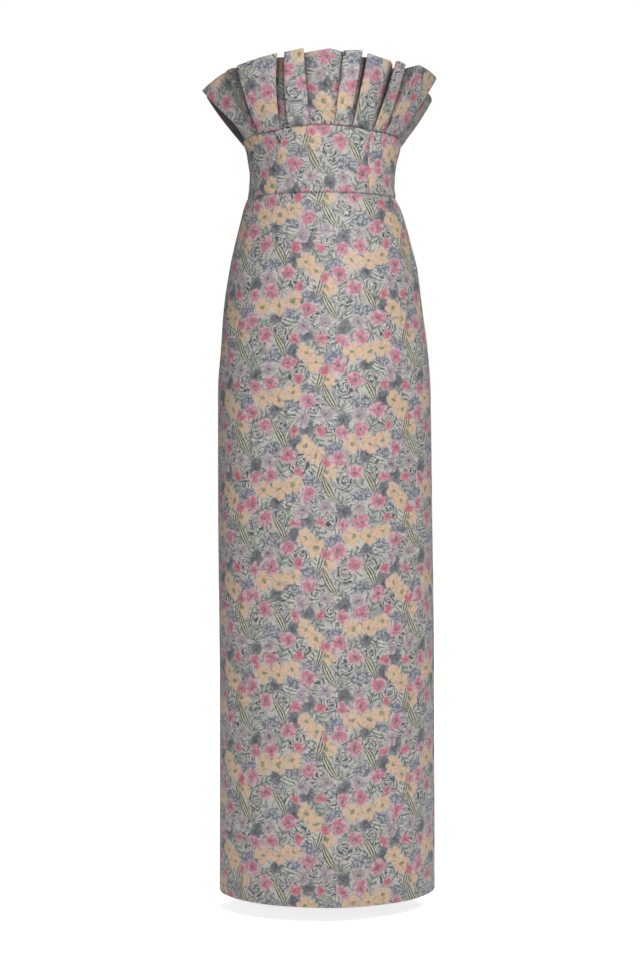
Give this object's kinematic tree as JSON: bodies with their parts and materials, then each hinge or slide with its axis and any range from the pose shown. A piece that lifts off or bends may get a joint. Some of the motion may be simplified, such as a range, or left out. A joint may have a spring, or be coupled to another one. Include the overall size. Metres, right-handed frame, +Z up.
{
  "type": "strapless column gown",
  "caption": "Strapless floor-length column gown, kept hollow, with fitted bodice, waist seam, straight skirt, standing pleated ruffle neckline and centre-back zip.",
  "frame": {"origin": "centre of the waist seam, where the gown is held", "axes": "+Z up, -Y the front of the gown, +X to the right in the front view"},
  "size_m": [0.392, 0.2929, 1.3912],
  "materials": {
    "floral_cloth": "satin",
    "zip_tape": "matte",
    "zip_metal": "satin"
  },
  "bodies": {
    "gown": {"bodice_front_centre": "floral_cloth", "bodice_side_front_left": "floral_cloth", "bodice_side_front_right": "floral_cloth", "bodice_back_left": "floral_cloth", "bodice_back_right": "floral_cloth", "skirt_front": "floral_cloth", "skirt_back_left": "floral_cloth", "skirt_back_right": "floral_cloth", "ruffle_front": "floral_cloth", "ruffle_back_left": "floral_cloth", "ruffle_back_right": "floral_cloth", "zip_tape": "zip_tape", "zip_slider": "zip_metal"},
    "pull_tab": {"zip_pull_tab": "zip_metal"}
  },
  "joints": [
    {"name": "pull_tab_swing", "type": "hinge", "parent": "gown", "child": "pull_tab", "pos_m": [0, 0.09548, 0.074], "axis": [1, 0, 0], "range_deg": [0, 150]}
  ]
}
